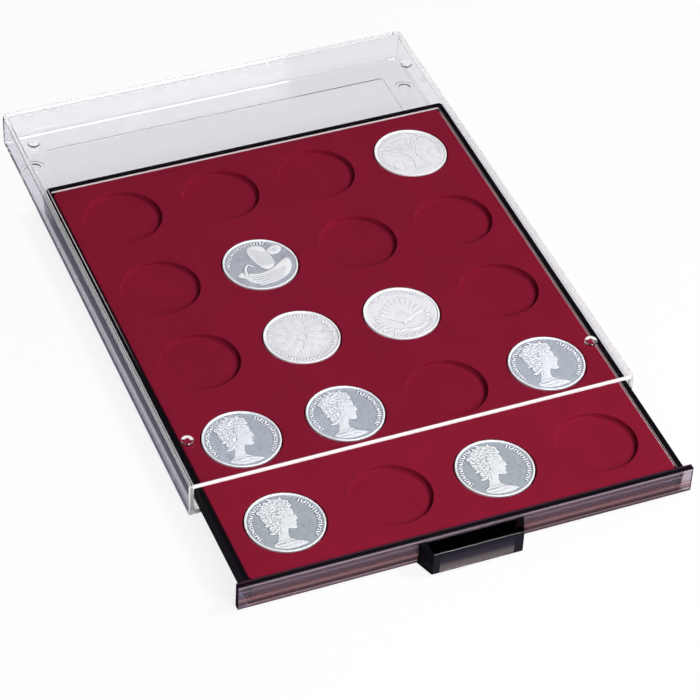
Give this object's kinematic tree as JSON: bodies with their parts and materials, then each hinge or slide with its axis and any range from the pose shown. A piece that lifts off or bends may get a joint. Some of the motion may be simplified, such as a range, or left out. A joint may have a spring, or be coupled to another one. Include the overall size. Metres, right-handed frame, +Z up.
{
  "type": "coin tray",
  "caption": "Clear plastic case with a smoke-tinted slide-out drawer that carries a dark-red flocked insert of round coin pockets, some of them holding silver coins.",
  "frame": {"origin": "centre of the flat underside that the case stands on", "axes": "+Z up, +Y from the drawer's front to the case's closed rear, +X to the right seen from the front"},
  "size_m": [0.236, 0.3798, 0.02],
  "materials": {
    "clear_plastic": "clear, polished",
    "smoke_plastic": "dark smoke tint, polished",
    "red_flock": "dark-red velour flock on a formed sheet",
    "coin_silver": "struck silver, bright rim and frosted relief"
  },
  "bodies": {
    "case": {"case": "clear_plastic"},
    "drawer": {"drawer": "smoke_plastic", "insert": "red_flock", "coin_row1_col4": "coin_silver", "coin_row2_col2": "coin_silver", "coin_row3_col2": "coin_silver", "coin_row3_col3": "coin_silver", "coin_row4_col1": "coin_silver", "coin_row4_col2": "coin_silver", "coin_row4_col4": "coin_silver", "coin_row5_col1": "coin_silver", "coin_row5_col3": "coin_silver"}
  },
  "joints": [
    {"name": "drawer_slide", "type": "slide", "parent": "case", "child": "drawer", "axis": [0, -1, 0], "range_m": [-0.0638, 0.1862]}
  ]
}
